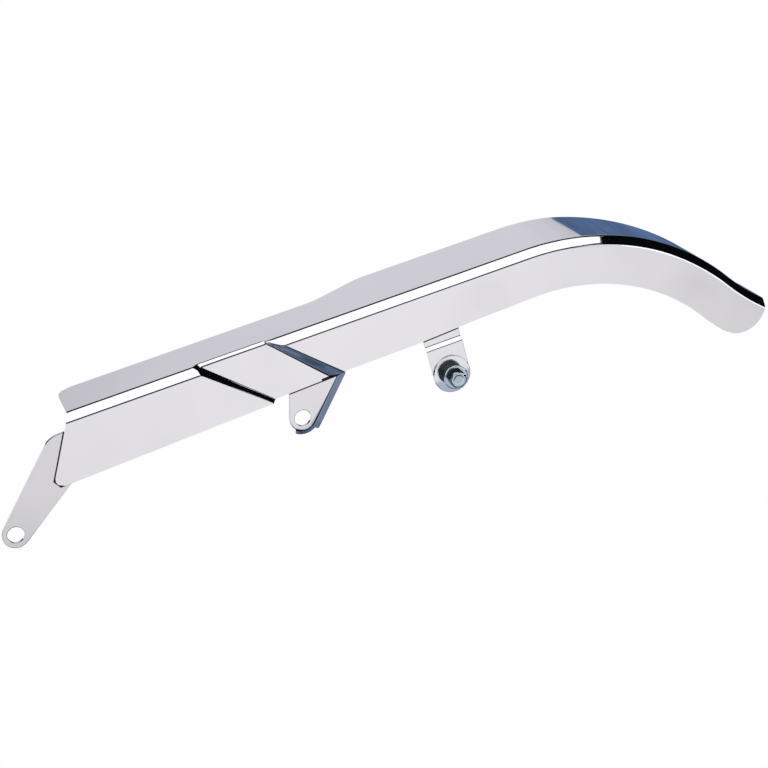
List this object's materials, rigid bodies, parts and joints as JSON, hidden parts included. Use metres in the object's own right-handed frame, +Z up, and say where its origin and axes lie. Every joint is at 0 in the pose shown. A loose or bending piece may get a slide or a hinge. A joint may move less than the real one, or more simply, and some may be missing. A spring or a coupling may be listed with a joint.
{
  "type": "belt guard",
  "caption": "Chromed motorcycle belt guard with a chamfered shoulder, diagonal recess, arched tail, fixing tabs and a rubber-mounted bolt.",
  "frame": {"origin": "centre of the front fixing hole, on the outer face of the front tab", "axes": "+X to the rear along the guard's straight run, +Y inwards to the belt, +Z up"},
  "size_m": [0.6599, 0.0897, 0.134],
  "materials": {
    "chrome": "polished",
    "zinc": "satin",
    "rubber": "matte"
  },
  "bodies": {
    "root": {"guard_shell": "chrome", "front_tab": "chrome", "middle_tab": "chrome", "rear_bracket": "chrome", "large_washer": "chrome", "rubber_grommet": "rubber", "spacer_sleeve": "zinc", "flat_washer": "zinc", "hex_bolt": "zinc"}
  },
  "joints": []
}
